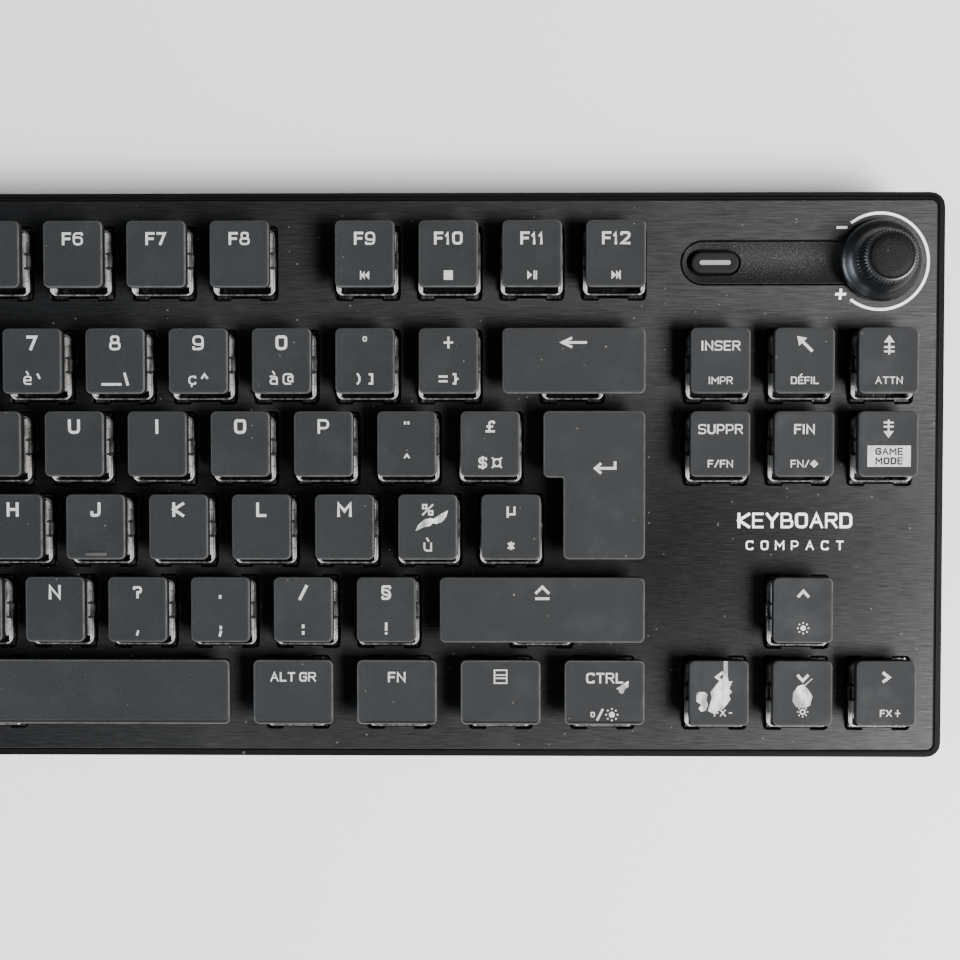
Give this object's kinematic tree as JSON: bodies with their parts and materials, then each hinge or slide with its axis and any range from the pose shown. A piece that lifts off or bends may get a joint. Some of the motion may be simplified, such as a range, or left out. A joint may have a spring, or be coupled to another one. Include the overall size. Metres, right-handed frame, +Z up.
{
  "type": "mechanical keyboard",
  "caption": "Tenkeyless mechanical keyboard: low charcoal caps on exposed clear switch housings, brushed black plate, pill-shaped mute button recess and round volume knob.",
  "frame": {"origin": "middle of the footprint, on the surface the rubber pads stand on", "axes": "+X to the right along the key rows, +Y to the rear, +Z up"},
  "size_m": [0.3586, 0.1316, 0.0348],
  "materials": {
    "case_plastic": "fine matt texture, near black",
    "plate_aluminium": "black anodised, brushed along the rows",
    "keycap": "smooth satin, charcoal",
    "clear_housing": "clear moulded plastic",
    "board": "solder mask, dark green",
    "inlay_plastic": "leather grain, black",
    "control_plastic": "fine grain, black",
    "encoder_metal": "satin",
    "socket_metal": "bright",
    "rubber": "matt, black",
    "screw_steel": "black zinc",
    "wire_steel": "bright drawn wire"
  },
  "bodies": {
    "chassis": {"base_tray": "case_plastic", "case_screw_1": "screw_steel", "case_screw_2": "screw_steel", "case_screw_3": "screw_steel", "case_screw_4": "screw_steel", "circuit_board": "board", "control_inlay": "inlay_plastic", "encoder_body": "encoder_metal", "pad_1": "rubber", "pad_2": "rubber", "pad_3": "rubber", "pad_4": "rubber", "switch_housings": "clear_housing", "top_plate": "plate_aluminium", "usb_socket": "socket_metal"},
    "key_alt_left": {"key_alt_left": "keycap"},
    "key_alt_right": {"key_alt_right": "keycap"},
    "key_backspace": {"key_backspace": "keycap"},
    "key_caps_lock": {"key_caps_lock": "keycap"},
    "key_control_left": {"key_control_left": "keycap"},
    "key_control_right": {"key_control_right": "keycap"},
    "key_delete": {"key_delete": "keycap"},
    "key_down": {"key_down": "keycap"},
    "key_end": {"key_end": "keycap"},
    "key_enter": {"key_enter": "keycap"},
    "key_escape": {"key_escape": "keycap"},
    "key_function": {"key_function": "keycap"},
    "key_home": {"key_home": "keycap"},
    "key_insert": {"key_insert": "keycap"},
    "key_left": {"key_left": "keycap"},
    "key_menu": {"key_menu": "keycap"},
    "key_page_down": {"key_page_down": "keycap"},
    "key_page_up": {"key_page_up": "keycap"},
    "key_right": {"key_right": "keycap"},
    "key_shift_left": {"key_shift_left": "keycap"},
    "key_shift_right": {"key_shift_right": "keycap"},
    "key_space": {"key_space": "keycap"},
    "key_square": {"key_square": "keycap"},
    "key_system": {"key_system": "keycap"},
    "key_tab": {"key_tab": "keycap"},
    "key_up": {"key_up": "keycap"},
    "keys_digits_left": {"keys_digits_left": "keycap"},
    "keys_digits_right": {"keys_digits_right": "keycap"},
    "keys_f1_to_f4": {"keys_f1_to_f4": "keycap"},
    "keys_f5_to_f8": {"keys_f5_to_f8": "keycap"},
    "keys_f9_to_f12": {"keys_f9_to_f12": "keycap"},
    "keys_home_left": {"keys_home_left": "keycap"},
    "keys_home_right": {"keys_home_right": "keycap"},
    "keys_lower_left": {"keys_lower_left": "keycap"},
    "keys_lower_right": {"keys_lower_right": "keycap"},
    "keys_upper_left": {"keys_upper_left": "keycap"},
    "keys_upper_right": {"keys_upper_right": "keycap"},
    "mute_button": {"mute_button": "control_plastic"},
    "volume_knob": {"volume_knob": "control_plastic"},
    "foot_left": {"foot_left": "case_plastic"},
    "foot_right": {"foot_right": "case_plastic"},
    "wire_backspace": {"wire_backspace": "wire_steel"},
    "wire_shift_right": {"wire_shift_right": "wire_steel"},
    "wire_space": {"wire_space": "wire_steel"},
    "wire_enter": {"wire_enter": "wire_steel"}
  },
  "joints": [
    {"name": "key_alt_left_travel", "type": "slide", "parent": "chassis", "child": "key_alt_left", "axis": [0, 0.0698, -0.9976], "range_m": [0, 0.0036], "stiffness_N_per_m": 83, "springref_m": -0.004},
    {"name": "key_alt_right_travel", "type": "slide", "parent": "chassis", "child": "key_alt_right", "axis": [0, 0.0698, -0.9976], "range_m": [0, 0.0036], "stiffness_N_per_m": 83, "springref_m": -0.004},
    {"name": "key_backspace_travel", "type": "slide", "parent": "chassis", "child": "key_backspace", "axis": [0, 0.0698, -0.9976], "range_m": [0, 0.0036], "stiffness_N_per_m": 83, "springref_m": -0.004},
    {"name": "key_caps_lock_travel", "type": "slide", "parent": "chassis", "child": "key_caps_lock", "axis": [0, 0.0698, -0.9976], "range_m": [0, 0.0036], "stiffness_N_per_m": 83, "springref_m": -0.004},
    {"name": "key_control_left_travel", "type": "slide", "parent": "chassis", "child": "key_control_left", "axis": [0, 0.0698, -0.9976], "range_m": [0, 0.0036], "stiffness_N_per_m": 83, "springref_m": -0.004},
    {"name": "key_control_right_travel", "type": "slide", "parent": "chassis", "child": "key_control_right", "axis": [0, 0.0698, -0.9976], "range_m": [0, 0.0036], "stiffness_N_per_m": 83, "springref_m": -0.004},
    {"name": "key_delete_travel", "type": "slide", "parent": "chassis", "child": "key_delete", "axis": [0, 0.0698, -0.9976], "range_m": [0, 0.0036], "stiffness_N_per_m": 83, "springref_m": -0.004},
    {"name": "key_down_travel", "type": "slide", "parent": "chassis", "child": "key_down", "axis": [0, 0.0698, -0.9976], "range_m": [0, 0.0036], "stiffness_N_per_m": 83, "springref_m": -0.004},
    {"name": "key_end_travel", "type": "slide", "parent": "chassis", "child": "key_end", "axis": [0, 0.0698, -0.9976], "range_m": [0, 0.0036], "stiffness_N_per_m": 83, "springref_m": -0.004},
    {"name": "key_enter_travel", "type": "slide", "parent": "chassis", "child": "key_enter", "axis": [0, 0.0698, -0.9976], "range_m": [0, 0.0036], "stiffness_N_per_m": 83, "springref_m": -0.004},
    {"name": "key_escape_travel", "type": "slide", "parent": "chassis", "child": "key_escape", "axis": [0, 0.0698, -0.9976], "range_m": [0, 0.0036], "stiffness_N_per_m": 83, "springref_m": -0.004},
    {"name": "key_function_travel", "type": "slide", "parent": "chassis", "child": "key_function", "axis": [0, 0.0698, -0.9976], "range_m": [0, 0.0036], "stiffness_N_per_m": 83, "springref_m": -0.004},
    {"name": "key_home_travel", "type": "slide", "parent": "chassis", "child": "key_home", "axis": [0, 0.0698, -0.9976], "range_m": [0, 0.0036], "stiffness_N_per_m": 83, "springref_m": -0.004},
    {"name": "key_insert_travel", "type": "slide", "parent": "chassis", "child": "key_insert", "axis": [0, 0.0698, -0.9976], "range_m": [0, 0.0036], "stiffness_N_per_m": 83, "springref_m": -0.004},
    {"name": "key_left_travel", "type": "slide", "parent": "chassis", "child": "key_left", "axis": [0, 0.0698, -0.9976], "range_m": [0, 0.0036], "stiffness_N_per_m": 83, "springref_m": -0.004},
    {"name": "key_menu_travel", "type": "slide", "parent": "chassis", "child": "key_menu", "axis": [0, 0.0698, -0.9976], "range_m": [0, 0.0036], "stiffness_N_per_m": 83, "springref_m": -0.004},
    {"name": "key_page_down_travel", "type": "slide", "parent": "chassis", "child": "key_page_down", "axis": [0, 0.0698, -0.9976], "range_m": [0, 0.0036], "stiffness_N_per_m": 83, "springref_m": -0.004},
    {"name": "key_page_up_travel", "type": "slide", "parent": "chassis", "child": "key_page_up", "axis": [0, 0.0698, -0.9976], "range_m": [0, 0.0036], "stiffness_N_per_m": 83, "springref_m": -0.004},
    {"name": "key_right_travel", "type": "slide", "parent": "chassis", "child": "key_right", "axis": [0, 0.0698, -0.9976], "range_m": [0, 0.0036], "stiffness_N_per_m": 83, "springref_m": -0.004},
    {"name": "key_shift_left_travel", "type": "slide", "parent": "chassis", "child": "key_shift_left", "axis": [0, 0.0698, -0.9976], "range_m": [0, 0.0036], "stiffness_N_per_m": 83, "springref_m": -0.004},
    {"name": "key_shift_right_travel", "type": "slide", "parent": "chassis", "child": "key_shift_right", "axis": [0, 0.0698, -0.9976], "range_m": [0, 0.0036], "stiffness_N_per_m": 83, "springref_m": -0.004},
    {"name": "key_space_travel", "type": "slide", "parent": "chassis", "child": "key_space", "axis": [0, 0.0698, -0.9976], "range_m": [0, 0.0036], "stiffness_N_per_m": 83, "springref_m": -0.004},
    {"name": "key_square_travel", "type": "slide", "parent": "chassis", "child": "key_square", "axis": [0, 0.0698, -0.9976], "range_m": [0, 0.0036], "stiffness_N_per_m": 83, "springref_m": -0.004},
    {"name": "key_system_travel", "type": "slide", "parent": "chassis", "child": "key_system", "axis": [0, 0.0698, -0.9976], "range_m": [0, 0.0036], "stiffness_N_per_m": 83, "springref_m": -0.004},
    {"name": "key_tab_travel", "type": "slide", "parent": "chassis", "child": "key_tab", "axis": [0, 0.0698, -0.9976], "range_m": [0, 0.0036], "stiffness_N_per_m": 83, "springref_m": -0.004},
    {"name": "key_up_travel", "type": "slide", "parent": "chassis", "child": "key_up", "axis": [0, 0.0698, -0.9976], "range_m": [0, 0.0036], "stiffness_N_per_m": 83, "springref_m": -0.004},
    {"name": "keys_digits_left_travel", "type": "slide", "parent": "chassis", "child": "keys_digits_left", "axis": [0, 0.0698, -0.9976], "range_m": [0, 0.0036], "stiffness_N_per_m": 498, "springref_m": -0.004},
    {"name": "keys_digits_right_travel", "type": "slide", "parent": "chassis", "child": "keys_digits_right", "axis": [0, 0.0698, -0.9976], "range_m": [0, 0.0036], "stiffness_N_per_m": 498, "springref_m": -0.004},
    {"name": "keys_f1_to_f4_travel", "type": "slide", "parent": "chassis", "child": "keys_f1_to_f4", "axis": [0, 0.0698, -0.9976], "range_m": [0, 0.0036], "stiffness_N_per_m": 332, "springref_m": -0.004},
    {"name": "keys_f5_to_f8_travel", "type": "slide", "parent": "chassis", "child": "keys_f5_to_f8", "axis": [0, 0.0698, -0.9976], "range_m": [0, 0.0036], "stiffness_N_per_m": 332, "springref_m": -0.004},
    {"name": "keys_f9_to_f12_travel", "type": "slide", "parent": "chassis", "child": "keys_f9_to_f12", "axis": [0, 0.0698, -0.9976], "range_m": [0, 0.0036], "stiffness_N_per_m": 332, "springref_m": -0.004},
    {"name": "keys_home_left_travel", "type": "slide", "parent": "chassis", "child": "keys_home_left", "axis": [0, 0.0698, -0.9976], "range_m": [0, 0.0036], "stiffness_N_per_m": 498, "springref_m": -0.004},
    {"name": "keys_home_right_travel", "type": "slide", "parent": "chassis", "child": "keys_home_right", "axis": [0, 0.0698, -0.9976], "range_m": [0, 0.0036], "stiffness_N_per_m": 498, "springref_m": -0.004},
    {"name": "keys_lower_left_travel", "type": "slide", "parent": "chassis", "child": "keys_lower_left", "axis": [0, 0.0698, -0.9976], "range_m": [0, 0.0036], "stiffness_N_per_m": 498, "springref_m": -0.004},
    {"name": "keys_lower_right_travel", "type": "slide", "parent": "chassis", "child": "keys_lower_right", "axis": [0, 0.0698, -0.9976], "range_m": [0, 0.0036], "stiffness_N_per_m": 415, "springref_m": -0.004},
    {"name": "keys_upper_left_travel", "type": "slide", "parent": "chassis", "child": "keys_upper_left", "axis": [0, 0.0698, -0.9976], "range_m": [0, 0.0036], "stiffness_N_per_m": 498, "springref_m": -0.004},
    {"name": "keys_upper_right_travel", "type": "slide", "parent": "chassis", "child": "keys_upper_right", "axis": [0, 0.0698, -0.9976], "range_m": [0, 0.0036], "stiffness_N_per_m": 498, "springref_m": -0.004},
    {"name": "mute_button_travel", "type": "slide", "parent": "chassis", "child": "mute_button", "axis": [0, 0.0698, -0.9976], "range_m": [0, 0.0008], "stiffness_N_per_m": 900, "springref_m": -0.001},
    {"name": "volume_knob_turn", "type": "hinge", "parent": "chassis", "child": "volume_knob", "pos_m": [0.16415, 0.04936, 0.02707], "axis": [0, -0.0698, 0.9976], "continuous": true},
    {"name": "foot_left_flip", "type": "hinge", "parent": "chassis", "child": "foot_left", "pos_m": [-0.127, 0.0395, 0.0034], "axis": [-1, 0, 0], "range_deg": [0, 95]},
    {"name": "foot_right_flip", "type": "hinge", "parent": "chassis", "child": "foot_right", "pos_m": [0.127, 0.0395, 0.0034], "axis": [-1, 0, 0], "range_deg": [0, 95]},
    {"name": "wire_backspace_swing", "type": "hinge", "parent": "chassis", "child": "wire_backspace", "pos_m": [0.09287, 0.01676, 0.01586], "axis": [-1, 0, 0], "range_deg": [0, 24.01]},
    {"name": "wire_shift_right_swing", "type": "hinge", "parent": "chassis", "child": "wire_shift_right", "pos_m": [0.08572, -0.04025, 0.01188], "axis": [-1, 0, 0], "range_deg": [0, 24.01]},
    {"name": "wire_space_swing", "type": "hinge", "parent": "chassis", "child": "wire_space", "pos_m": [-0.04286, -0.05926, 0.01055], "axis": [-1, 0, 0], "range_deg": [0, 24.01]},
    {"name": "wire_enter_swing", "type": "hinge", "parent": "chassis", "child": "wire_enter", "pos_m": [0.10931, -0.00147, 0.01459], "axis": [0, -0.9976, -0.0698], "range_deg": [0, 24.01]}
  ],
  "couplings": [
    {"joint": "wire_backspace_swing", "follows": "key_backspace_travel", "rad_per_m": 114.94},
    {"joint": "wire_shift_right_swing", "follows": "key_shift_right_travel", "rad_per_m": 114.94},
    {"joint": "wire_space_swing", "follows": "key_space_travel", "rad_per_m": 114.94},
    {"joint": "wire_enter_swing", "follows": "key_enter_travel", "rad_per_m": 114.94}
  ]
}
